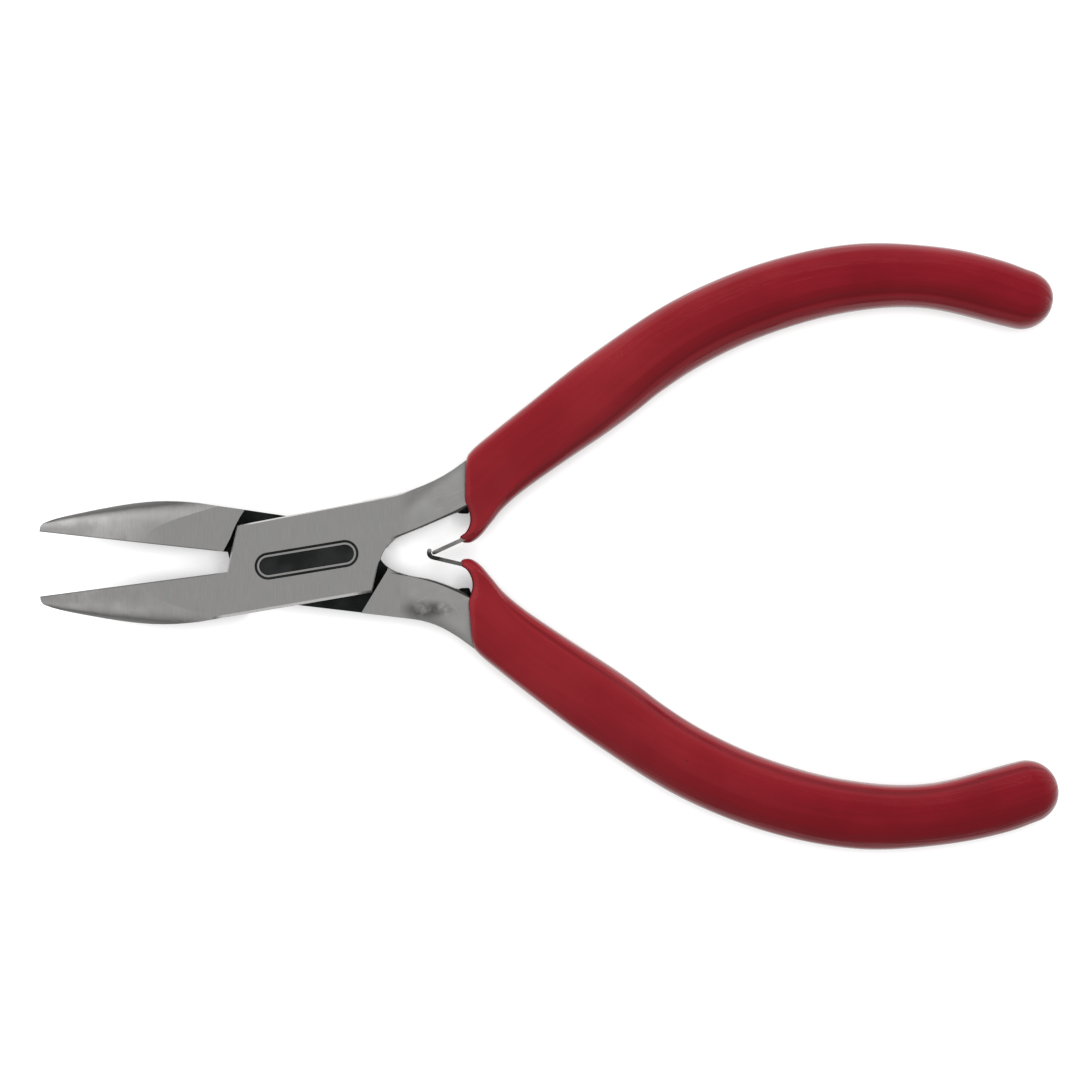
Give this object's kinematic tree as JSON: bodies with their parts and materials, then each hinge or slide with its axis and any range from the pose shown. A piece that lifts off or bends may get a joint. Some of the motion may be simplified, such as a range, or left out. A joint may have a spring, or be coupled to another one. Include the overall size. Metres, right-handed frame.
{
  "type": "needle nose pliers",
  "caption": "Small spring-loaded needle nose pliers with a lap joint, tapered half-round jaws, double leaf return spring and dipped vinyl grips.",
  "frame": {"origin": "on the pivot axis, at the flat underside of the joint", "axes": "+X from the jaws towards the handles, along the jaws' closing line; +Y towards the upper handle of the open tool; +Z along the pivot axis, out of the labelled side"},
  "size_m": [0.1146, 0.0686, 0.0066],
  "materials": {
    "steel": "ground and brushed tool steel, dark oxide in the recesses",
    "rivet_steel": "plain ground steel",
    "spring_steel": "tempered spring strip",
    "vinyl": "glossy dipped red vinyl"
  },
  "bodies": {
    "half_a": {"half_a": "steel", "grip_a": "vinyl", "spring_rivet_a": "rivet_steel", "pivot_rivet": "rivet_steel"},
    "half_b": {"half_b": "steel", "grip_b": "vinyl", "spring_rivet_b": "rivet_steel"},
    "spring_a": {"leaf_spring_a": "spring_steel", "boot_a": "vinyl"},
    "spring_b": {"leaf_spring_b": "spring_steel", "boot_b": "vinyl"}
  },
  "joints": [
    {"name": "pivot", "type": "hinge", "parent": "half_a", "child": "half_b", "pos_m": [0, 0, 0.0033], "axis": [0, 0, 1], "range_deg": [0, 13.5], "stiffness_Nm_per_rad": 1.5},
    {"name": "leaf_flex_a", "type": "hinge", "parent": "half_a", "child": "spring_a", "pos_m": [0.0366, 0.01752, 0.0033], "axis": [0, 0, 1], "range_deg": [-5, 0.5]},
    {"name": "leaf_flex_b", "type": "hinge", "parent": "half_b", "child": "spring_b", "pos_m": [0.0366, -0.01558, 0.0033], "axis": [0, 0, 1], "range_deg": [-0.5, 4.5]}
  ],
  "couplings": [
    {"joint": "leaf_flex_a", "follows": "pivot", "ratio": -0.3192},
    {"joint": "leaf_flex_b", "follows": "pivot", "ratio": 0.2588}
  ]
}
